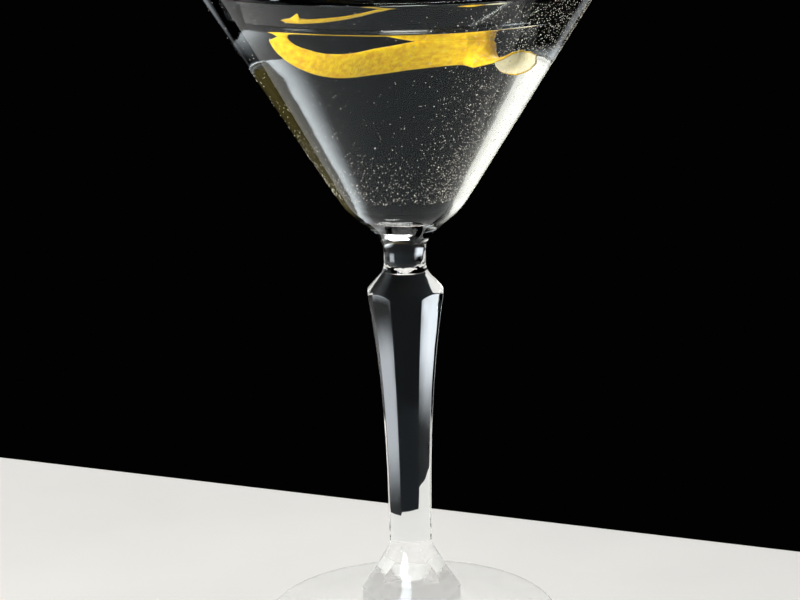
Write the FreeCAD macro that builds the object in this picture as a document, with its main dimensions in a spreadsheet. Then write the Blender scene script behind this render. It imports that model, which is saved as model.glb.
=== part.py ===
"""A stemmed cocktail glass that holds a martini with a twist of lemon peel.

The glass is one solid: a straight-sided V bowl on a thick bottom, a round neck, an eight-sided stem
that widens upwards to a shoulder, a flare that turns the eight sides by half a side, a base block and
a thin round foot. The drink fills the bowl to its level and is cut round the twist, whose upper edge
just breaks the surface. Millimetres, +Z up, the origin in the middle of the foot's underside. One
flat side of the stem faces the front, -Y.
"""
import FreeCAD, Part

import math
import os

import Sketcher

FULL_TURN = 360.0
SIDES = 8
HALF_SIDE_ANGLE = FULL_TURN / SIDES / 2
STEM_SPANS = 8
TWIST_SPANS = 12
RING_TOLERANCE = 0.01
RIM_ROUNDING_SHARE = 0.48
# the strip of peel: half waves along it, how early they come, and how its sweep and width run out
TWIST_HALF_WAVES = 3
TWIST_WAVE_POWER = 0.85
TWIST_SWEEP_POWER = 1.5
TWIST_FULLNESS_POWER = 0.7
TWIST_TURN_START = 0.7
TWIST_DIRECTION_STEP = 0.01
UP = FreeCAD.Vector(0, 0, 1)

SIZES = {
    # foot
    "foot_radius": 39.3,
    "foot_edge_thickness": 1.7,
    "foot_edge_rounding": 0.7,
    "foot_rise": 2.6,
    "foot_hub_radius": 17.0,
    # base block and flare; their radii reach to the corners of the eight sides
    "block_height": 9.8,
    "block_radius": 13.3,
    "slope_height": 5.7,
    "ledge_radius": 9.4,
    "flare_height": 5.7,
    # stem; an apothem reaches to the middle of a side
    "stem_waist_apothem": 5.68,
    "stem_length": 71.4,
    "stem_curve": 2.62,
    "shoulder_apothem": 9.95,
    "shoulder_spread": 0.875,
    "shoulder_rounding": 5.0,
    # neck
    "neck_radius": 5.47,
    "neck_length": 8.2,
    "neck_rounding": 8.0,
    # bowl
    "bowl_base_depth": 8.2,
    "bowl_base_radius": 15.2,
    "bowl_base_rounding": 20.0,
    "bowl_height": 59.0,
    "rim_radius": 52.0,
    "rim_wall": 1.5,
    "rim_rounding": 0.6,
    "bowl_base_wall": 2.1,
    "bottom_thickness": 6.7,
    "hollow_rounding": 10.0,
    # drink
    "drink_below_rim": 7.7,
    "drink_clearance": 0.05,
    # twist of peel
    "twist_left_reach": 27.0,
    "twist_right_reach": 26.5,
    "twist_front": 2.0,
    "twist_sweep": 20.0,
    "twist_width": 8.8,
    "twist_tip_width": 5.4,
    "twist_thickness": 1.4,
    "twist_depth": 4.9,
    "twist_dip": 2.0,
    "twist_lean": 40.0,
    "twist_turn_over": 80.0,
}

NECK_BOTTOM = (
    "(sizes.block_height + sizes.slope_height + sizes.flare_height + sizes.stem_length"
    " + (sizes.shoulder_apothem - sizes.neck_radius) / sizes.shoulder_spread)"
)
STEM_BOTTOM = "(sizes.block_height + sizes.slope_height + sizes.flare_height)"
LEDGE_TOP = "(sizes.block_height + sizes.slope_height)"
NECK_TOP = f"({NECK_BOTTOM} + sizes.neck_length)"
BOWL_BASE = f"({NECK_TOP} + sizes.bowl_base_depth)"
RIM = f"({BOWL_BASE} + sizes.bowl_height)"
FLOOR = f"({NECK_TOP} + sizes.bottom_thickness)"
RIM_INSIDE = "(sizes.rim_radius - sizes.rim_wall)"
BASE_INSIDE = "(sizes.bowl_base_radius - sizes.bowl_base_wall)"
HOLLOW_SPREAD = f"(({RIM_INSIDE} - {BASE_INSIDE}) / sizes.bowl_height)"
DRINK_LEVEL = f"({RIM} - sizes.drink_below_rim)"
OUTER_SPREAD = "((sizes.rim_radius - sizes.bowl_base_radius) / sizes.bowl_height)"
RIM_ROUNDING_LIMIT = f"({RIM_ROUNDING_SHARE} * sizes.rim_wall / sqrt(1 + {OUTER_SPREAD} ^ 2))"


def make_document():
    """A document whose sheet holds each driving dimension in a cell with an alias."""
    doc = FreeCAD.newDocument("martini")
    sheet = doc.addObject("Spreadsheet::Sheet", "sizes")
    for row, (name, value) in enumerate(SIZES.items(), start=1):
        sheet.set(f"A{row}", name)
        sheet.set(f"B{row}", str(value))
        sheet.setAlias(f"B{row}", name)
    doc.recompute()
    return doc


def value_of(doc, expression):
    """The number that an expression over the sheet's cells gives."""
    return float(doc.sizes.evalExpression(expression))


def hollow_radius(height):
    """The expression for the radius of the bowl's straight inner wall at a height."""
    return f"({BASE_INSIDE} + {HOLLOW_SPREAD} * ({height} - {BOWL_BASE}))"


def corner_reach(apothem):
    """The expression for how far out the corners lie of eight sides with that apothem."""
    return f"(({apothem}) / cos({HALF_SIDE_ANGLE}deg))"


def outline_sketch(body, corners):
    """A closed outline in the body's XZ plane; its corners are (radius, height) expressions."""
    doc = body.Document
    sketch = body.newObject("Sketcher::SketchObject", f"{body.Name}_outline")
    plane = next(f for f in body.Origin.OriginFeatures if f.Role == "XZ_Plane")
    sketch.AttachmentSupport = [(plane, "")]
    sketch.MapMode = "FlatFace"
    points = [FreeCAD.Vector(value_of(doc, r), value_of(doc, h), 0) for r, h in corners]
    count = len(points)
    for i in range(count):
        sketch.addGeometry(Part.LineSegment(points[i], points[(i + 1) % count]), False)
    for i in range(count):
        sketch.addConstraint(Sketcher.Constraint("Coincident", i, 2, (i + 1) % count, 1))
    for i, (radius, height) in enumerate(corners):
        for kind, expression, axis in (("DistanceX", radius, -2), ("DistanceY", height, -1)):
            if expression == "0":
                sketch.addConstraint(Sketcher.Constraint("PointOnObject", i, 1, axis))
            else:
                size = value_of(doc, expression)
                number = sketch.addConstraint(Sketcher.Constraint(kind, -1, 1, i, 1, size))
                sketch.setExpression(f"Constraints[{number}]", expression)
    return sketch


def turned_body(doc, name, corners):
    """A body made by turning an outline round Z."""
    body = doc.addObject("PartDesign::Body", name)
    turn = body.newObject("PartDesign::Revolution", f"{name}_turned")
    turn.Profile = outline_sketch(body, corners)
    turn.ReferenceAxis = (turn.Profile[0], ["V_Axis"])
    turn.Angle = FULL_TURN
    doc.recompute()
    return body


def round_rings(body, name, rings, rounding):
    """Rounds the body's round edges at the given (radius, height) pairs by an expression."""
    doc = body.Document
    wanted = [(value_of(doc, r), value_of(doc, h)) for r, h in rings]
    edges = []
    for number, edge in enumerate(body.Shape.Edges, start=1):
        if isinstance(edge.Curve, Part.Circle):
            found = (edge.Curve.Radius, edge.Curve.Center.z)
            if any(math.dist(found, ring) < RING_TOLERANCE for ring in wanted):
                edges.append(f"Edge{number}")
    before = body.Tip
    fillet = body.newObject("PartDesign::Fillet", name)
    fillet.Base = (before, edges)
    fillet.setExpression("Radius", rounding)
    doc.recompute()


def make_foot(doc):
    """The thin round foot, rising a little towards the block."""
    hub_height = "(sizes.foot_edge_thickness + sizes.foot_rise)"
    body = turned_body(doc, "foot", [
        ("0", "0"),
        ("sizes.foot_radius", "0"),
        ("sizes.foot_radius", "sizes.foot_edge_thickness"),
        ("sizes.foot_hub_radius", hub_height),
        ("0", hub_height),
    ])
    edge_rings = [("sizes.foot_radius", "0"), ("sizes.foot_radius", "sizes.foot_edge_thickness")]
    round_rings(body, "foot_edge", edge_rings, "sizes.foot_edge_rounding")
    return body


def make_octagon(doc, name, reach, height, flat_to_front):
    """An eight-sided outline with its corners that far out, at a height."""
    shape = doc.addObject("Part::RegularPolygon", name)
    shape.Polygon = SIDES
    shape.setExpression("Circumradius", reach)
    angle = HALF_SIDE_ANGLE if flat_to_front else 0.0
    shape.Placement = FreeCAD.Placement(FreeCAD.Vector(), FreeCAD.Rotation(UP, angle))
    shape.setExpression(".Placement.Base.z", height)
    return shape


def make_loft(doc, name, sections, ruled):
    """A solid through a row of outlines."""
    loft = doc.addObject("Part::Loft", name)
    loft.Sections = sections
    loft.Solid = True
    loft.Ruled = ruled
    doc.recompute()
    return loft


def make_base(doc):
    """The eight-sided block and the slope above it, both with a corner to the front."""
    block = doc.addObject("Part::Prism", "block")
    block.Polygon = SIDES
    block.setExpression("Circumradius", "sizes.block_radius")
    block.setExpression("Height", "sizes.block_height")
    wide = make_octagon(doc, "slope_bottom", "sizes.block_radius", "sizes.block_height", False)
    narrow = make_octagon(doc, "slope_top", "sizes.ledge_radius", LEDGE_TOP, False)
    slope = make_loft(doc, "slope", [wide, narrow], True)
    return [block, slope]


def ring_of_corners(reach, height, first_angle):
    """The corners of eight sides, in order round Z."""
    angles = [math.radians(first_angle + FULL_TURN / SIDES * i) for i in range(SIDES)]
    return [FreeCAD.Vector(reach * math.cos(a), reach * math.sin(a), height) for a in angles]


def make_flare(doc):
    """The flare: a point of each lower corner runs up between two facets of the stem."""
    lower = ring_of_corners(value_of(doc, "sizes.ledge_radius"), value_of(doc, LEDGE_TOP), 0.0)
    stem_reach = value_of(doc, corner_reach("sizes.stem_waist_apothem"))
    upper = ring_of_corners(stem_reach, value_of(doc, STEM_BOTTOM), HALF_SIDE_ANGLE)
    outlines = [lower, upper]
    for i in range(SIDES):
        after = (i + 1) % SIDES
        outlines.append([lower[i], lower[after], upper[i]])
        outlines.append([upper[i], upper[after], lower[after]])
    faces = [Part.Face(Part.makePolygon(corners + corners[:1])) for corners in outlines]
    flare = doc.addObject("Part::Feature", "flare")
    flare.Shape = Part.Solid(Part.Shell(faces))
    return flare


def make_stem(doc):
    """The eight-sided stem, widening upwards on a curve and cut off by the shoulder's cone."""
    sections = []
    for i in range(STEM_SPANS + 1):
        share = i / STEM_SPANS
        height = f"({STEM_BOTTOM} + {share} * ({NECK_BOTTOM} - {STEM_BOTTOM}))"
        along = f"(({height} - {STEM_BOTTOM}) / sizes.stem_length)"
        widening = "(sizes.shoulder_apothem - sizes.stem_waist_apothem)"
        apothem = f"sizes.stem_waist_apothem + {widening} * {along} ^ sizes.stem_curve"
        if i == 0:
            apothem = "sizes.stem_waist_apothem"
        sections.append(make_octagon(doc, f"stem_{i}", corner_reach(apothem), height, True))
    cone = doc.addObject("Part::Cone", "shoulder_cone")
    cone_height = f"({NECK_BOTTOM} - {STEM_BOTTOM})"
    cone.setExpression("Height", cone_height)
    cone.setExpression("Radius1", f"sizes.neck_radius + sizes.shoulder_spread * {cone_height}")
    cone.setExpression("Radius2", "sizes.neck_radius")
    cone.setExpression(".Placement.Base.z", STEM_BOTTOM)
    stem = doc.addObject("Part::Common", "stem")
    stem.Base = make_loft(doc, "stem_column", sections, False)
    stem.Tool = cone
    doc.recompute()
    return stem


def make_bowl(doc):
    """The bowl and the neck under it, down to halfway out on the shoulder."""
    seam_radius = "((sizes.neck_radius + sizes.shoulder_apothem) / 2)"
    seam_height = f"({NECK_BOTTOM} - ({seam_radius} - sizes.neck_radius) / sizes.shoulder_spread)"
    floor_corner = (hollow_radius(FLOOR), FLOOR)
    neck_bottom = ("sizes.neck_radius", NECK_BOTTOM)
    neck_top = ("sizes.neck_radius", NECK_TOP)
    bowl_base = ("sizes.bowl_base_radius", BOWL_BASE)
    rim = [("sizes.rim_radius", RIM), (RIM_INSIDE, RIM)]
    body = turned_body(doc, "bowl", [
        ("0", seam_height),
        (seam_radius, seam_height),
        neck_bottom,
        neck_top,
        bowl_base,
        *rim,
        floor_corner,
        ("0", FLOOR),
    ])
    round_rings(body, "shoulder_rounded", [neck_bottom], "sizes.shoulder_rounding")
    round_rings(body, "neck_rounded", [neck_top], "sizes.neck_rounding")
    round_rings(body, "base_rounded", [bowl_base], "sizes.bowl_base_rounding")
    round_rings(body, "hollow_rounded", [floor_corner], "sizes.hollow_rounding")
    rim_rounding = f"min(sizes.rim_rounding; {RIM_ROUNDING_LIMIT})"
    round_rings(body, "rim_rounded", rim, rim_rounding)
    return body


def make_glass(doc):
    """The whole glass as one solid."""
    glass = doc.addObject("Part::MultiFuse", "glass")
    glass.Shapes = [make_foot(doc), *make_base(doc), make_flare(doc), make_stem(doc), make_bowl(doc)]
    glass.Refine = True
    glass.Label = "glass"
    doc.recompute()
    return glass


def twist_middle(doc, share):
    """The middle of the peel's strip at a share of its run, from its left tip at 0 to 1."""
    left = value_of(doc, "sizes.twist_left_reach")
    run = left + value_of(doc, "sizes.twist_right_reach")
    sweep = value_of(doc, "sizes.twist_sweep") * (1 - share) ** TWIST_SWEEP_POWER
    wave = math.cos(TWIST_HALF_WAVES * math.pi * share ** TWIST_WAVE_POWER)
    dip = value_of(doc, "sizes.twist_dip") * wave
    depth = value_of(doc, "sizes.twist_depth") - dip
    return FreeCAD.Vector(
        run * share - left,
        -value_of(doc, "sizes.twist_front") - sweep,
        value_of(doc, DRINK_LEVEL) - depth,
    )


def twist_section(doc, share):
    """The peel's four-cornered outline across its run."""
    before, after = max(share - TWIST_DIRECTION_STEP, 0.0), min(share + TWIST_DIRECTION_STEP, 1.0)
    ahead = twist_middle(doc, after) - twist_middle(doc, before)
    ahead.normalize()
    turned_over = max(0.0, share - TWIST_TURN_START) / (1 - TWIST_TURN_START)
    lean = value_of(doc, "sizes.twist_lean") - turned_over * value_of(doc, "sizes.twist_turn_over")
    across = FreeCAD.Vector(0, math.sin(math.radians(lean)), math.cos(math.radians(lean)))
    across = across - ahead * across.dot(ahead)
    across.normalize()
    through = ahead.cross(across)
    tip = value_of(doc, "sizes.twist_tip_width")
    fullness = max(0.0, math.sin(math.pi * share)) ** TWIST_FULLNESS_POWER
    width = tip + (value_of(doc, "sizes.twist_width") - tip) * fullness
    half_width = across * (width / 2)
    half_thickness = through * (value_of(doc, "sizes.twist_thickness") / 2)
    middle = twist_middle(doc, share)
    corners = [
        middle - half_width - half_thickness,
        middle + half_width - half_thickness,
        middle + half_width + half_thickness,
        middle - half_width + half_thickness,
    ]
    return Part.makePolygon(corners + corners[:1])


def make_twist(doc):
    """The strip of lemon peel: it dips, rises to the surface and turns over at its right tip."""
    twist = doc.addObject("Part::Feature", "lemon_twist")
    sections = [twist_section(doc, i / TWIST_SPANS) for i in range(TWIST_SPANS + 1)]
    twist.Shape = Part.makeLoft(sections, True, False)
    twist.Label = "lemon_twist"
    return twist


def make_drink(doc, twist):
    """The drink in the bowl's hollow, a clearance inside its walls, cut round the twist."""
    floor = f"({FLOOR} + sizes.drink_clearance)"
    corner = (f"({hollow_radius(floor)} - sizes.drink_clearance)", floor)
    edge = (f"({hollow_radius(DRINK_LEVEL)} - sizes.drink_clearance)", DRINK_LEVEL)
    body = turned_body(doc, "filling", [("0", floor), corner, edge, ("0", DRINK_LEVEL)])
    round_rings(body, "filling_rounded", [corner], "sizes.hollow_rounding")
    drink = doc.addObject("Part::Cut", "drink")
    drink.Base = body
    drink.Tool = twist
    drink.Label = "drink"
    doc.recompute()
    return drink


def check(doc, pieces):
    """Stops if any object failed, or if a piece is not one valid solid."""
    for thing in doc.Objects:
        if "Invalid" in thing.State or "Error" in thing.State:
            raise RuntimeError(f"{thing.Name} failed: {thing.State}")
    for piece in pieces:
        shape = piece.Shape
        if shape.isNull() or not shape.isValid() or len(shape.Solids) != 1:
            raise RuntimeError(f"{piece.Label} is not one valid solid")
        box = shape.BoundBox
        print(
            f"{piece.Label}: {shape.Volume / 1000:.2f} cm3,"
            f" x {box.XMin:.1f} to {box.XMax:.1f}, y {box.YMin:.1f} to {box.YMax:.1f},"
            f" z {box.ZMin:.1f} to {box.ZMax:.1f}"
        )


def main():
    doc = make_document()
    glass = make_glass(doc)
    twist = make_twist(doc)
    drink = make_drink(doc, twist)
    pieces = [glass, drink, twist]
    check(doc, pieces)
    os.makedirs("parts", exist_ok=True)
    for piece in pieces:
        piece.Shape.exportStep(os.path.join("parts", f"{piece.Label}.step"))


main()
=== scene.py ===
# %% [markdown]
# # A martini with a twist of lemon
# A stemmed glass of clear spirit with a strip of lemon peel lying in it. The glass, the drink and the
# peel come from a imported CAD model, which is loaded as a fixed frame. Every size below is measured on
# that frame, in metres, so the looks fit the solids.

# %% Load the frame and measure its box
import math
import random

import bpy
from mathutils import Matrix, Vector
from mathutils.bvhtree import BVHTree


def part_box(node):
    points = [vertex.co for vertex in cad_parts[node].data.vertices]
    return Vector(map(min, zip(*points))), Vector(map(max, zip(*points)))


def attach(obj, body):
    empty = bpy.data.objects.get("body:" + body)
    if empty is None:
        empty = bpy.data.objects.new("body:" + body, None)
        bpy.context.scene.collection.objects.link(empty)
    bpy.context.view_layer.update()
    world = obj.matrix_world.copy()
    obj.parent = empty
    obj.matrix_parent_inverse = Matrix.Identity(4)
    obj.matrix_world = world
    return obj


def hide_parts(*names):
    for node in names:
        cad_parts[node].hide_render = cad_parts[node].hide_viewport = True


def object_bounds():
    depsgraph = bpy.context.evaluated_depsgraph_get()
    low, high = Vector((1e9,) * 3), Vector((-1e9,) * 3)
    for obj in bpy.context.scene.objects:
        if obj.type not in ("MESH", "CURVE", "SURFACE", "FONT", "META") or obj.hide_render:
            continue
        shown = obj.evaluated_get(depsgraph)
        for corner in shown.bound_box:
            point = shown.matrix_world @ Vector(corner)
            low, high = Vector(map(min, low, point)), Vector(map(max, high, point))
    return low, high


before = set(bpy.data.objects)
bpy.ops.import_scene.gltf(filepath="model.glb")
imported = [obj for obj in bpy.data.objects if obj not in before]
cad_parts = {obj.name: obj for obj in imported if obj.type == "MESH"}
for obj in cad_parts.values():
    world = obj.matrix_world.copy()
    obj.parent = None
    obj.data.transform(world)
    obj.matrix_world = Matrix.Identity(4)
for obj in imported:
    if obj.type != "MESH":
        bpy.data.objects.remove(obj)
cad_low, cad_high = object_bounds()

MM = 0.001
HAIR = 0.001 * MM


def in_mm(*lengths):
    """Lengths in millimetres, rounded for printing."""
    return [round(length / MM, 2) for length in lengths]


print("CAD box in mm:", in_mm(*cad_low), in_mm(*cad_high))

# %% [markdown]
# ## The camera
# A martini glass is a flat cone, so the height it is seen from decides how wide the drink's ellipse
# looks. A short lens close by would flare the rim. A long lens, a little above the rim and tilted
# down, keeps the rim a thin ellipse and the stem straight. It leans a touch to one side, as a camera
# held in the hand does.

# %% Camera
lens_length = 99.0
sensor_width = 36.0
camera_place = Vector((-1.47, -556.5, 235.4)) * MM
camera_tilt = math.radians(90 - 14.7)
camera_roll = math.radians(-1.256)
camera_data = bpy.data.cameras.new("camera")
camera_data.lens = lens_length
camera_data.sensor_width = sensor_width
camera = bpy.data.objects.new("camera", camera_data)
bpy.context.collection.objects.link(camera)
camera.matrix_world = (
    Matrix.Translation(camera_place)
    @ Matrix.Rotation(camera_tilt, 4, "X")
    @ Matrix.Rotation(camera_roll, 4, "Z")
)
bpy.context.scene.camera = camera
bpy.context.scene.view_settings.view_transform = "Standard"
print("camera to the glass's foot, mm:", in_mm(camera_place.length))


# %% [markdown]
# ## Selecting in code
# An operator acts on whatever is selected, and a new primitive arrives selected all over. So each
# piece starts from an empty selection, and these small helpers save saying so every time.

# %% Helpers for selection
def clear_selection():
    """Leaves edit mode and deselects every object."""
    if bpy.context.object and bpy.context.object.mode != "OBJECT":
        bpy.ops.object.mode_set(mode="OBJECT")
    bpy.ops.object.select_all(action="DESELECT")


def only(thing):
    """Selects one object and makes it active."""
    clear_selection()
    thing.select_set(True)
    bpy.context.view_layer.objects.active = thing


def edit(select="SELECT", kind="VERT"):
    """Enters edit mode on the active object, choosing all or none of its vertices, edges or faces."""
    bpy.ops.object.mode_set(mode="EDIT")
    bpy.ops.mesh.select_mode(type=kind)
    bpy.ops.mesh.select_all(action=select)


def stop_editing():
    """Goes back to object mode, where the mesh can be read again."""
    bpy.ops.object.mode_set(mode="OBJECT")


# %% Helper for modifiers
def apply_modifier(thing, kind, **values):
    """Adds a modifier with these values and applies it."""
    only(thing)
    modifier = thing.modifiers.new(kind.lower(), kind)
    for name, value in values.items():
        setattr(modifier, name, value)
    bpy.ops.object.modifier_apply(modifier=modifier.name)


# %% [markdown]
# ## The slab
# The glass stands on a plain pale slab that ends a hand's width behind it, at a slant. A plane would
# do from above, but its end would look like paper, so it is a cube, scaled to a board, with its edges
# softened by a bevel. It is staging, and the export leaves it out.

# %% Slab: the board
slab_size = Vector((3.0, 1.6, 0.02))
slab_edge_behind = 90 * MM
slab_edge_turn = math.radians(-22.2)
slab_softness = 1.5 * MM
clear_selection()
bpy.ops.mesh.primitive_cube_add(size=1, location=(0, -slab_size.y / 2, -slab_size.z / 2))
slab = bpy.context.object
slab.name = "slab"
slab.scale = slab_size
bpy.ops.object.transform_apply(location=True, scale=True)
apply_modifier(slab, "BEVEL", width=slab_softness, segments=3)
slab.matrix_world = (
    Matrix.Translation((0, slab_edge_behind, 0)) @ Matrix.Rotation(slab_edge_turn, 4, "Z")
)
print("slab in mm:", in_mm(*slab_size), "ending", in_mm(slab_edge_behind), "behind the glass")


# %% [markdown]
# ## Finishes that wander
# No real surface has one flat colour. A painted image would need a map laid on each piece. A noise on
# the object's own coordinates needs none and stays put when a piece moves, so every finish here
# blends two near colours over such a noise.

# %% Helpers for materials
def noise(tree, scale, detail, stretch=(1, 1, 1)):
    """A noise on the object's own coordinates. Its scale counts features per metre."""
    place = tree.nodes.new("ShaderNodeTexCoord")
    mapping = tree.nodes.new("ShaderNodeMapping")
    mapping.inputs["Scale"].default_value = stretch
    texture = tree.nodes.new("ShaderNodeTexNoise")
    texture.inputs["Scale"].default_value = scale
    texture.inputs["Detail"].default_value = detail
    tree.links.new(place.outputs["Object"], mapping.inputs["Vector"])
    tree.links.new(mapping.outputs["Vector"], texture.inputs["Vector"])
    return texture


def mottled_material(name, scale, detail, *stops):
    """A material coloured by a ramp over a noise, with its tree, its shader and that noise."""
    material = bpy.data.materials.new(name)
    material.use_nodes = True
    tree = material.node_tree
    shader = tree.nodes["Principled BSDF"]
    cloud = noise(tree, scale, detail)
    shade = tree.nodes.new("ShaderNodeValToRGB")
    for element, (position, colour) in zip(shade.color_ramp.elements, stops):
        element.position = position
        element.color = (*colour, 1)
    tree.links.new(cloud.outputs["Fac"], shade.inputs["Fac"])
    tree.links.new(shade.outputs["Color"], shader.inputs["Base Color"])
    return material, tree, shader, cloud


# %% Slab: its finish
slab_material, tree, shader, cloud = mottled_material(
    "pale slab", 9.0, 5.0, (0.35, (0.80, 0.80, 0.79)), (0.65, (0.86, 0.86, 0.85))
)
shader.inputs["Roughness"].default_value = 0.35
slab.data.materials.append(slab_material)
print("slab finish:", slab_material.name)

# %% [markdown]
# ## The dark room
# Clear glass shows only what it bends. Against a pale room its outline is lost, while against a dark
# one every lamp becomes a bright edge, so the room is all but black.

# %% Dark room
room_colour = (0.0006, 0.0006, 0.0007, 1)
world = bpy.data.worlds.new("dark room")
bpy.context.scene.world = world
world.use_nodes = True
world.node_tree.nodes["Background"].inputs["Color"].default_value = room_colour
print("room colour:", room_colour[:3])


# %% [markdown]
# ## Soft panels
# A point lamp would show in the glass as a hard dot. A panel shows as a window, and one whose glow
# dies away towards its edges shows as a soft band, which is what a lamp behind cloth gives. So each
# panel is an area light whose strength falls off with the place on its own face.

# %% Helper: a glow that fades towards the panel's edges
def fade_panel(data, share):
    """Lets a panel's glow die away over this share of its width and height."""
    data.use_nodes = True
    tree = data.node_tree
    place = tree.nodes.new("ShaderNodeNewGeometry")
    split = tree.nodes.new("ShaderNodeSeparateXYZ")
    tree.links.new(place.outputs["Parametric"], split.inputs["Vector"])
    glow = None
    for axis in ("X", "Y"):
        for low, high in ((0.0, share), (1.0, 1.0 - share)):
            slope = tree.nodes.new("ShaderNodeMapRange")
            slope.interpolation_type = "SMOOTHSTEP"
            slope.inputs["From Min"].default_value = low
            slope.inputs["From Max"].default_value = high
            tree.links.new(split.outputs[axis], slope.inputs["Value"])
            if glow is None:
                glow = slope.outputs["Result"]
            else:
                both = tree.nodes.new("ShaderNodeMath")
                both.operation = "MULTIPLY"
                tree.links.new(glow, both.inputs[0])
                tree.links.new(slope.outputs["Result"], both.inputs[1])
                glow = both.outputs["Value"]
    tree.links.new(glow, tree.nodes["Emission"].inputs["Strength"])


# %% Helpers: a panel, and where it stands
bowl_middle = Vector((0, 0, 0.14))


def add_panel(name, place, size, watts, colour, fade=0.0, aim=bowl_middle):
    """A rectangular soft light at a place, turned to its aim."""
    data = bpy.data.lights.new(name, "AREA")
    data.shape = "RECTANGLE"
    data.size, data.size_y = size
    data.energy = watts
    data.color = colour
    panel = bpy.data.objects.new(name, data)
    bpy.context.collection.objects.link(panel)
    panel.location = place
    panel.rotation_euler = (Vector(aim) - Vector(place)).to_track_quat("-Z", "Y").to_euler()
    panel.visible_camera = False
    if fade:
        fade_panel(data, fade)
    print(name, "at", in_mm(*place), "mm,", watts, "W")


def around(azimuth, elevation, distance):
    """A place seen from the bowl at an azimuth, where 0 is behind and 90 is right, and an elevation."""
    turn, lift = math.radians(azimuth), math.radians(elevation)
    level_part = distance * math.cos(lift)
    return bowl_middle + Vector(
        (level_part * math.sin(turn), level_part * math.cos(turn), distance * math.sin(lift))
    )


# %% [markdown]
# ## Lights for the bowl
# A cone of liquid works as a lens that swaps left and right, so the large warm panel on the left is
# seen in the right of the bowl, and the cooler, weaker one on the right is seen in its left. A small
# amber panel at the side warms the bowl's edge.

# %% Panels beside the bowl
# Each call gives the name, the place, the size in metres, the power in watts, the colour and the fade.
warm_white = (1.0, 0.985, 0.95)
cool_white = (0.88, 0.94, 1.0)
amber = (1.0, 0.8, 0.25)
wide_fade = 0.48
add_panel("left_key", around(-83, 24, 0.95), (1.15, 1.15), 10, warm_white, wide_fade)
add_panel("right_fill", around(46, 27, 0.95), (0.95, 0.85), 4.2, cool_white, wide_fade)
add_panel("warm_edge", around(84, 22, 0.95), (0.5, 0.9), 0.2, amber, 0.4)

# %% [markdown]
# ## Lights for the stem, the slab and the peel
# The stem bends light that comes from below its own height, so two weak panels stand low behind the
# slab. One above and behind lights the slab, and a small one at the front left lights the peel.

# %% Panels low, above and in front
soft_fade = 0.3
slab_white = (1.0, 0.99, 0.97)
peel_white = (1.0, 0.97, 0.92)
slab_aim = (0, 0.05, 0)
add_panel("left_low", around(-36, -6, 1.0), (0.68, 0.5), 1.1, cool_white, soft_fade)
add_panel("right_low", around(29, -17, 1.0), (0.3, 0.3), 0.14, cool_white, soft_fade)
add_panel("back_top", (0.15, 0.55, 0.95), (0.5, 0.4), 5.8, slab_white, aim=slab_aim)
add_panel("front_left", around(-145, 20, 1.0), (0.3, 0.3), 13, peel_white)


# %% [markdown]
# ## A caliper
# What is made by hand has to fit the CAD solid. Copying sizes by eye would leave gaps, so the solid
# is measured: a ray is sent at it, and where the ray lands gives the wall's distance from the axis.
# Each ray starts a little aside, because one that runs exactly along a seam of the mesh can miss.

# %% Caliper on the CAD glass
aside_inside = 0.01
aside_outside = 0.0037
glass_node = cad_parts["glass"]
glass_tree = BVHTree.FromObject(glass_node, bpy.context.evaluated_depsgraph_get())


def touch(start, towards):
    """Where a ray from one place in one direction first lands on the CAD glass."""
    return glass_tree.ray_cast(Vector(start), Vector(towards))[0]


def hollow_reach(height):
    """How far the hollow's wall is from the axis at a height."""
    return touch((0, 0, height), (1, aside_inside, 0)).xy.length


def outer_reach(height):
    """How far the glass's outer wall is from the axis at a height."""
    return touch((1, aside_outside, height), (-1, 0, 0)).xy.length


# %% Measure the drink's level and the bowl's floor
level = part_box("drink")[1].z
floor = touch((0, 0, level), (0, 0, -1)).z
rim_height = cad_high.z
print("rim, level and floor in mm:", in_mm(rim_height, level, floor))
print("the hollow's reach at the level in mm:", in_mm(hollow_reach(level)))


# %% [markdown]
# ## Turning a profile
# Bowl, foot and drink are all round. A Screw modifier could spin a drawn profile. Here the piece is
# built as on a lathe instead: a ring is added, then extruded and scaled from one ring to the next,
# because each ring can come straight from the caliper.

# %% Helpers for turned pieces
gentle_edge = math.radians(35)


def spread(first, last, count):
    """Evenly spaced values from the first to the last."""
    return [first + (last - first) * i / (count - 1) for i in range(count)]


def turn_rings(name, rings, sides, fill="NGON"):
    """A turned piece: its rings are (reach, height) pairs from its bottom, outside, to its top."""
    clear_selection()
    reach, height = rings[0]
    bpy.ops.mesh.primitive_circle_add(
        vertices=sides, radius=reach, fill_type=fill, location=(0, 0, height)
    )
    piece = bpy.context.object
    piece.name = name
    bpy.ops.object.transform_apply(location=True)
    bpy.ops.object.mode_set(mode="EDIT")
    for next_reach, next_height in rings[1:]:
        rise = next_height - height
        bpy.ops.mesh.extrude_region_move(TRANSFORM_OT_translate={"value": (0, 0, rise)})
        scale = next_reach / reach
        bpy.ops.transform.resize(value=(scale, scale, 1), center_override=(0, 0, next_height))
        reach, height = next_reach, next_height
    bpy.ops.mesh.select_all(action="SELECT")
    bpy.ops.mesh.normals_make_consistent(inside=False)
    stop_editing()
    bpy.ops.object.shade_smooth_by_angle(angle=gentle_edge)
    print(name, "has", len(rings), "rings of", sides)
    return piece


# %% [markdown]
# ## The bowl
# The bowl is a thin cone with a rounded inner floor, on a shoulder that sweeps down into the stem.
# The CAD solid has it, but as flat strips that show as stripes once light bends through two walls of
# it. So the bowl is turned again with many more sides, on rings measured from the solid: up the
# outside, over the rim, and down the inside.

# %% Bowl: the outer wall
glass_sides = 128
neck_cut = 0.1018
shoulder_high, cone_low = 0.1195, 0.125
cone_high = rim_height - 1.2 * MM
shoulder = spread(neck_cut + 0.3 * MM, shoulder_high, 15)
cone = spread(cone_low, cone_high, 5)
bowl_rings = [(outer_reach(height), height) for height in shoulder + cone]
print("neck and cone reach in mm:", in_mm(bowl_rings[0][0], bowl_rings[-1][0]))

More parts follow.
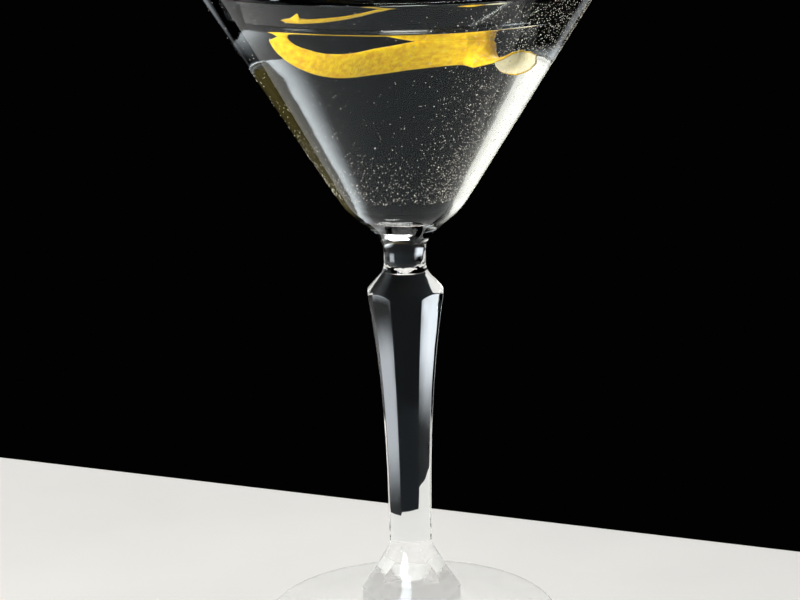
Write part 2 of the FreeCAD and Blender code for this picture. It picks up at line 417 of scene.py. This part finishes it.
# %% Bowl: the rounded rim
rim_start = rim_height - 0.55 * MM
rim_outer = outer_reach(rim_start)
rim_inner = hollow_reach(rim_start)
rim_corner = 0.22 * (rim_outer - rim_inner)
bowl_rings += [
    (rim_outer, rim_start),
    (rim_outer - rim_corner, rim_height),
    (rim_inner + rim_corner, rim_height),
    (rim_inner, rim_start),
]
print("wall at the rim in mm:", in_mm(rim_outer - rim_inner))


# %% Bowl: the inner wall and its rounded floor
def hollow_below(centre, degrees, aside):
    """Reach and height of the hollow on a ray from the axis, so many degrees off straight down."""
    angle = math.radians(degrees)
    hit = touch((0, 0, centre), (math.sin(angle), aside, -math.cos(angle)))
    return hit.xy.length, hit.z


floor_centre = floor + 9 * MM
floor_turns = spread(82, 8, 13)
bowl_rings += [(hollow_reach(height), height) for height in reversed(cone)]
bowl_rings += [hollow_below(floor_centre, degrees, aside_outside) for degrees in floor_turns]
bowl = turn_rings("bowl", bowl_rings, glass_sides, "NOTHING")

# %% Bowl: close the middle of its floor
last_height = bowl_rings[-1][1]
only(bowl)
edit("DESELECT")
stop_editing()
for corner in bowl.data.vertices:
    corner.select = abs(corner.co.z - last_height) < HAIR
bpy.ops.object.mode_set(mode="EDIT")
bpy.ops.mesh.edge_face_add()
stop_editing()
print("bowl faces:", len(bowl.data.polygons))


# %% [markdown]
# ## The foot
# The foot is a flat round disc, a little higher towards the middle, with a polished rounded edge and
# a hub that the stem grows out of. Bevelling the CAD disc would round every strip of it as well, so
# it is turned anew: its edge is two quarter rounds, and its top follows the caliper.

# %% Foot: sizes
def foot_top(reach):
    """The height of the foot's upper side at a distance from the axis."""
    above = 0.03
    return touch((reach, aside_outside * reach, above), (0, 0, -1)).z


foot_edge = outer_reach(0.85 * MM)
foot_rounding = 0.7 * MM
edge_top = foot_top(foot_edge - foot_rounding)
hub_height = foot_top(15 * MM)
print("foot's reach, edge top and hub in mm:", in_mm(foot_edge, edge_top, hub_height))

# %% Foot: rings from the underside to the hub
top_reaches = (36, 30, 24, 19, 17.7)
hub_reaches = (16.4, 15.4, 14.7)
foot_rings = []
for degrees in spread(0, 90, 4):
    angle = math.radians(degrees)
    inward = foot_rounding * (1 - math.sin(angle))
    foot_rings.append((foot_edge - inward, foot_rounding * (1 - math.cos(angle))))
for degrees in spread(0, 85, 4):
    angle = math.radians(degrees)
    inward = foot_rounding * (1 - math.cos(angle))
    foot_rings.append((foot_edge - inward, edge_top - foot_rounding * (1 - math.sin(angle))))
foot_rings += [(reach * MM, foot_top(reach * MM)) for reach in top_reaches]
foot_rings += [(reach * MM, hub_height) for reach in hub_reaches]
foot = turn_rings("foot", foot_rings, glass_sides)

# %% Foot: open the hub, where the stem goes
inside_hub = 14 * MM
only(foot)
edit("DESELECT", "FACE")
stop_editing()
for face in foot.data.polygons:
    at_hub = abs(face.center.z - hub_height) < HAIR
    face.select = at_hub and face.center.xy.length < inside_hub
bpy.ops.object.mode_set(mode="EDIT")
bpy.ops.mesh.delete(type="FACE")
stop_editing()
print("foot faces:", len(foot.data.polygons))


# %% [markdown]
# ## The stem
# The stem is cut in flat facets that narrow to a waist and flare again, over a small block on the
# foot. Those flats are what catches the light, and the CAD solid has them exactly. So the stem is cut
# out of a copy of the solid, and the foot and the bowl are bridged to its two open ends. A Boolean
# would leave slivers where almost equal walls cross.

# %% Helpers: cut a piece level, and join two open ends
def cut_off(thing, height, side):
    """Cuts a thing at a height and drops what lies on one side of the cut."""
    only(thing)
    edit()
    bpy.ops.mesh.bisect(
        plane_co=(0, 0, height),
        plane_no=(0, 0, 1),
        threshold=HAIR,
        clear_inner=side == "below",
        clear_outer=side == "above",
    )
    stop_editing()


def join_at_the_gap(thing, part):
    """Joins a part to a thing and bridges the open edge of one to that of the other."""
    only(thing)
    part.select_set(True)
    bpy.ops.object.join()
    edit("DESELECT", "EDGE")
    bpy.ops.mesh.select_non_manifold()
    bpy.ops.mesh.bridge_edge_loops()
    bpy.ops.mesh.select_all(action="SELECT")
    bpy.ops.mesh.normals_make_consistent(inside=False)
    bpy.ops.mesh.select_all(action="DESELECT")
    bpy.ops.mesh.select_non_manifold()
    stop_editing()
    print("open edges after joining:", sum(edge.select for edge in thing.data.edges))


# %% Stem: a clean copy of the solid
merge_distance = 0.002 * MM
flat_enough = math.radians(0.1)
glass = glass_node.copy()
glass.data = glass_node.data.copy()
glass.name = "glass_smooth"
bpy.context.collection.objects.link(glass)
only(glass)
edit()
bpy.ops.mesh.remove_doubles(threshold=merge_distance)
bpy.ops.mesh.dissolve_limited(angle_limit=flat_enough)
stop_editing()
print("faces of the clean copy:", len(glass.data.polygons))

# %% Stem: cut it out, with the foot and the bowl joined on
above_hub = 0.08 * MM
cut_off(glass, hub_height + above_hub, "below")
join_at_the_gap(glass, foot)
cut_off(glass, neck_cut, "above")
join_at_the_gap(glass, bowl)

# %% [markdown]
# ## Softened facets
# A real cut edge is fire-polished: it is a narrow round, and that round is where the highlight sits.
# Shading alone can't give a highlight, so a small Bevel rounds every edge sharper than a set angle,
# and then only the gentler ones are shaded smooth.

# %% Glass: polish the cut edges
polish_width = 0.35 * MM
polish_above = math.radians(28)
smooth_below = math.radians(40)
apply_modifier(
    glass,
    "BEVEL",
    width=polish_width,
    segments=3,
    limit_method="ANGLE",
    angle_limit=polish_above,
)
only(glass)
bpy.ops.object.shade_smooth_by_angle(angle=smooth_below)
print("glass faces:", len(glass.data.polygons))

# %% [markdown]
# ## The finish of clear glass
# Clear glass has almost no colour of its own. Full transmission with an index of refraction of 1.5
# bends the light as glass does. Where the glass touches the drink there is no air between them in
# truth, and a full reflection there would put a haze in the bowl, so the Specular Tint holds it low.

# %% Glass: colour and clarity
glass_material, tree, shader, cloud = mottled_material(
    "clear glass", 60.0, 3.0, (0.3, (0.93, 0.95, 0.955)), (0.7, (0.97, 0.98, 0.98))
)
shader.inputs["Transmission Weight"].default_value = 1.0
shader.inputs["Roughness"].default_value = 0.0
shader.inputs["IOR"].default_value = 1.5
shader.inputs["Specular Tint"].default_value = (0.18, 0.22, 0.26, 1)
print("glass finish:", glass_material.name)

# %% [markdown]
# ## Ripples in pressed glass
# A pressed stem is never quite flat: long faint waves run up it and break the bands of light. They
# are too shallow to model, so a stretched noise tilts the surface through a Bump node. The bowl is
# far smoother, so a Map Range over the height calms the ripples on the way up.

# %% Glass: ripples, strong in the stem and weak in the bowl
stem_height, bowl_height = 0.09, 0.12
stem_ripple, bowl_ripple = 0.3, 0.06
ripple_depth = 0.0004
long_waves = (1, 1, 0.25)
ripples = noise(tree, 150.0, 2.0, long_waves)
place = tree.nodes.new("ShaderNodeTexCoord")
split = tree.nodes.new("ShaderNodeSeparateXYZ")
calm = tree.nodes.new("ShaderNodeMapRange")
calm.inputs["From Min"].default_value = stem_height
calm.inputs["From Max"].default_value = bowl_height
calm.inputs["To Min"].default_value = stem_ripple
calm.inputs["To Max"].default_value = bowl_ripple
bump = tree.nodes.new("ShaderNodeBump")
bump.inputs["Distance"].default_value = ripple_depth
tree.links.new(place.outputs["Object"], split.inputs["Vector"])
tree.links.new(split.outputs["Z"], calm.inputs["Value"])
tree.links.new(calm.outputs["Result"], bump.inputs["Strength"])
tree.links.new(ripples.outputs["Fac"], bump.inputs["Height"])
tree.links.new(bump.outputs["Normal"], shader.inputs["Normal"])
print("ripple strength from", stem_ripple, "in the stem to", bowl_ripple, "in the bowl")


# %% Glass: hand it over to the frame
def let_light_through(piece):
    """A clear piece would throw a solid shadow, so light on its way to the slab ignores it."""
    piece.visible_shadow = False
    piece.visible_diffuse = False


glass.data.materials.clear()
glass.data.materials.append(glass_material)
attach(glass, "root")
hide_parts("glass")
let_light_through(glass)
print(glass.name, "replaces the CAD glass")

# %% [markdown]
# ## The drink
# The spirit fills the bowl nearly to the rim and climbs its wall in a thin curved lip, the meniscus,
# which draws the bright line around the surface. A drink that ends exactly on the wall would flicker
# against it, and one that ends short of it would show a gap of air. So it is turned a fraction of a
# millimetre into the wall, and its top is turned down from the lip to the flat middle.

# %% Drink: up the wall
into_wall = 0.2 * MM
drink_centre = floor + 12 * MM
drink_rings = []
for degrees in spread(8, 64, 9):
    angle = math.radians(degrees)
    reach, height = hollow_below(drink_centre, degrees, aside_inside)
    drink_rings.append((reach + into_wall * math.sin(angle), height - into_wall * math.cos(angle)))
cone_start = level - 10 * MM
drink_rings.append((hollow_reach(cone_start) + into_wall, cone_start))
print("rings up the wall:", len(drink_rings))

# %% Drink: the lip and the flat surface
lip_rise = 1.4 * MM
lip_width = 3.0 * MM
lip_steps = 8
lip_crowding = 1.5
lip_fall = 3.5
flat_shares = (1.4, 1.8, 3.0, 6.0)
drink_sides = 160
lip_reach = hollow_reach(level + lip_rise)
drink_rings.append((lip_reach + into_wall, level + lip_rise))
for step in range(1, lip_steps + 1):
    inward = lip_width * (step / lip_steps) ** lip_crowding
    rise = lip_rise * math.exp(-lip_fall * inward / lip_width)
    drink_rings.append((lip_reach - inward, level + rise))
drink_rings += [(lip_reach - lip_width * share, level) for share in flat_shares]
drink = turn_rings("drink_clear", drink_rings, drink_sides)

# %% [markdown]
# ## The finish of the spirit
# Gin or vodka is as clear as water and bends light a little more than water does. Colouring the whole
# volume would cost time and tint it too much, so the base colour only leans towards warm green-white.
# A reflection where the drink meets the glass would be false, so its Specular Tint is zero.

# %% Drink: finish, and hand it over
drink_material, tree, shader, cloud = mottled_material(
    "clear spirit", 25.0, 2.0, (0.3, (0.985, 0.99, 0.965)), (0.7, (0.995, 0.997, 0.98))
)
shader.inputs["Transmission Weight"].default_value = 1.0
shader.inputs["Roughness"].default_value = 0.0
shader.inputs["IOR"].default_value = 1.355
shader.inputs["Specular Tint"].default_value = (0.0, 0.0, 0.0, 1)
drink.data.materials.append(drink_material)
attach(drink, "root")
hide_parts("drink")
let_light_through(drink)
print(drink.name, "index of refraction", shader.inputs["IOR"].default_value)

# %% [markdown]
# ## The twist
# A bar twist is a strip pared off a lemon: it lies in the drink in a slow bow, and its right end rolls
# over and shows the pale side. A bent plane would need its vertices moved one by one. A curve does it
# with few numbers, because each point has a place, a tilt that rolls the strip and a radius that sets
# its width. Extruded sideways and made a mesh, it is a ribbon.

# %% Twist: the curve through its middle
# Each row is x, y and depth under the level in mm, then lean in degrees, then width in mm.
twist_points = [
    (-27.0, -21.5, 0.2, 16, 5.0),
    (-25.3, -21.2, 3.0, 20, 5.4),
    (-20.5, -19.8, 5.6, 26, 6.6),
    (-13.0, -16.5, 6.6, 30, 7.8),
    (-4.0, -11.8, 4.9, 38, 9.4),
    (6.0, -7.4, 3.0, 44, 10.4),
    (12.5, -6.0, 2.7, 40, 9.4),
    (15.5, -5.6, 3.3, 8, 8.8),
    (18.0, -4.8, 4.8, -60, 8.4),
    (20.5, -4.0, 6.2, -125, 8.4),
    (23.2, -3.2, 6.9, -162, 7.8),
    (25.8, -3.0, 6.9, -174, 5.6),
    (27.0, -3.0, 6.8, -176, 3.0),
]
widest = max(width for x, y, depth, lean, width in twist_points) * MM
print("twist points:", len(twist_points), "widest in mm:", in_mm(widest))

# %% Twist: a ribbon along the curve
clear_selection()
bpy.ops.curve.primitive_bezier_curve_add()
peel = bpy.context.object
peel.name = "lemon_peel"
peel.location = (0, 0, 0)
spline = peel.data.splines[0]
spline.bezier_points.add(len(twist_points) - 2)
for point, (x, y, depth, lean, width) in zip(spline.bezier_points, twist_points):
    point.co = (x * MM, y * MM, level - depth * MM)
    point.handle_left_type = "AUTO"
    point.handle_right_type = "AUTO"
    point.tilt = math.radians(lean)
    point.radius = width * MM / widest
peel.data.dimensions = "3D"
peel.data.twist_mode = "Z_UP"
peel.data.resolution_u = 10
peel.data.extrude = widest / 2
only(peel)
bpy.ops.object.convert(target="MESH")
print("ribbon in mm:", in_mm(*peel.dimensions))

# %% Twist: merge the ribbon and split it lengthwise
edit()
bpy.ops.mesh.remove_doubles(threshold=HAIR)
bpy.ops.mesh.subdivide(number_cuts=1)
stop_editing()
print("ribbon vertices:", len(peel.data.vertices))

# %% [markdown]
# ## Zest and pith
# The outside of the peel is a strong yellow with tiny oil pores, and the inside is a matt cream. One
# fine noise serves the zest twice: it clouds the yellow, and it drives a Bump for the pores, which
# are too small to model. The pith has no bump, only a paler cloud and the shader's own soft gloss.

# %% Twist: zest
zest_material, tree, shader, cloud = mottled_material(
    "zest", 700.0, 6.0, (0.32, (0.80, 0.42, 0.001)), (0.62, (1.0, 0.70, 0.003))
)
shader.inputs["Roughness"].default_value = 0.45
shader.inputs["Specular IOR Level"].default_value = 0.25
pores = tree.nodes.new("ShaderNodeBump")
pores.inputs["Strength"].default_value = 0.6
pores.inputs["Distance"].default_value = 0.0005
tree.links.new(cloud.outputs["Fac"], pores.inputs["Height"])
tree.links.new(pores.outputs["Normal"], shader.inputs["Normal"])
print("zest pores:", pores.inputs["Strength"].default_value)

# %% Twist: pith
pith_material = mottled_material(
    "pith", 300.0, 3.0, (0.3, (0.95, 0.86, 0.50)), (0.7, (0.99, 0.93, 0.68))
)[0]
print("pith finish:", pith_material.name)

# %% [markdown]
# ## A wall for the peel
# Peel is a little over a millimetre thick, yellow on one side and on its cut edges, cream on the
# other. Solidify gives the ribbon that wall and can put a second material on the new side and on the
# rim, so no face is painted by hand. Subdivision then rounds the cut edges.

# %% Twist: thickness, softness, and hand it over
peel_thickness = 1.3 * MM
zest_slot = 1
peel.data.materials.clear()
peel.data.materials.append(pith_material)
peel.data.materials.append(zest_material)
apply_modifier(
    peel,
    "SOLIDIFY",
    thickness=peel_thickness,
    offset=0,
    material_offset=zest_slot,
    material_offset_rim=zest_slot,
)
apply_modifier(peel, "SUBSURF", levels=2, render_levels=2)
only(peel)
bpy.ops.object.shade_smooth()
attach(peel, "root")
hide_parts("lemon_twist")
print("peel in mm:", in_mm(*peel.dimensions), "faces:", len(peel.data.polygons))

# %% [markdown]
# ## Condensation
# A chilled bowl draws a fine mist of drops, thick on one side and thin on the other. A rough patch in
# the finish would blur the whole wall. A mist is thousands of beads, so one drop is modelled as half
# of a coarse ball and copied into a single mesh, flat side against the wall.

# %% Condensation: one drop
random.seed(7)
clear_selection()
bpy.ops.mesh.primitive_uv_sphere_add(segments=6, ring_count=4, radius=1)
drop = bpy.context.object
edit()
bpy.ops.mesh.bisect(plane_co=(0, 0, 0), plane_no=(0, 0, 1), use_fill=True, clear_inner=True)
stop_editing()
drop_corners = [corner.co.copy() for corner in drop.data.vertices]
drop_faces = [list(face.vertices) for face in drop.data.polygons]
bpy.data.objects.remove(drop)
print("one drop:", len(drop_corners), "corners,", len(drop_faces), "faces")

# %% Condensation: the wall it sits on
mist_low = 0.1185
mist_high = rim_height - 2 * MM
lean_from = 0.13
wall_lean = math.atan2(
    outer_reach(mist_high) - outer_reach(lean_from), mist_high - lean_from
)
print("the wall leans", round(math.degrees(wall_lean), 1), "degrees")


def on_the_wall(height, turn, size):
    """The corners of one drop on the outer wall; turn 0 faces the front and grows to the right."""
    side = Vector((math.cos(turn), math.sin(turn), 0))
    out = Vector((math.sin(turn), -math.cos(turn), 0))
    normal = out * math.cos(wall_lean) - Vector((0, 0, math.sin(wall_lean)))
    up = normal.cross(side) * -1
    middle = out * outer_reach(height) + Vector((0, 0, height))
    proud = 0.5 * size
    return [
        middle + side * (corner.x * size) + up * (corner.y * size) + normal * (corner.z * proud)
        for corner in drop_corners
    ]


# %% Condensation: scatter the drops
drop_count = 6800
mist_half_turn = 100
small_drop, large_drop = 0.06, 0.14
swollen, swollen_chance = 1.6, 0.06
mist_everywhere, mist_on_the_right, mist_at_the_floor = 0.05, 0.9, 0.3
right_from, right_width = 0.1, 0.45
floor_band = 0.02
spots = []
while len(spots) < drop_count:
    height = random.uniform(mist_low, mist_high)
    turn = math.radians(random.uniform(-mist_half_turn, mist_half_turn))
    right = min(1.0, max(0.0, (math.sin(turn) - right_from) / right_width)) ** 2
    near_floor = max(0.0, 1 - (height - mist_low) / floor_band)
    chance = mist_everywhere + mist_on_the_right * right + mist_at_the_floor * near_floor
    if random.random() < chance:
        size = random.uniform(small_drop, large_drop) * MM
        size *= swollen if random.random() < swollen_chance else 1
        spots.append((height, turn, size))
print("drops on the right half:", sum(turn > 0 for height, turn, size in spots), "of", drop_count)

# %% Condensation: one mesh of all the drops
corners, faces = [], []
for spot in spots:
    first = len(corners)
    corners += on_the_wall(*spot)
    faces += [[first + corner for corner in face] for face in drop_faces]
mesh = bpy.data.meshes.new("condensation_beads")
mesh.from_pydata(corners, [], faces)
beads = bpy.data.objects.new("condensation_beads", mesh)
bpy.context.collection.objects.link(beads)
only(beads)
edit()
bpy.ops.mesh.normals_make_consistent(inside=False)
stop_editing()
bpy.ops.object.shade_smooth()
print("condensation faces:", len(beads.data.polygons))

# %% [markdown]
# ## The finish of dew
# Drops this small act as tiny lenses that scatter light, and from a step away they read as pale
# specks. True clear water would be lost against clear glass and slow to render, so the dew is mostly
# a pale satin that lets some light through.

# %% Condensation: finish, and hand it over
dew_material, tree, shader, cloud = mottled_material(
    "dew", 900.0, 2.0, (0.3, (0.55, 0.53, 0.45)), (0.7, (0.95, 0.93, 0.84))
)
shader.inputs["Roughness"].default_value = 0.25
shader.inputs["Transmission Weight"].default_value = 0.25
shader.inputs["IOR"].default_value = 1.33
beads.data.materials.append(dew_material)
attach(beads, "root")
let_light_through(beads)
print("dew finish:", dew_material.name)
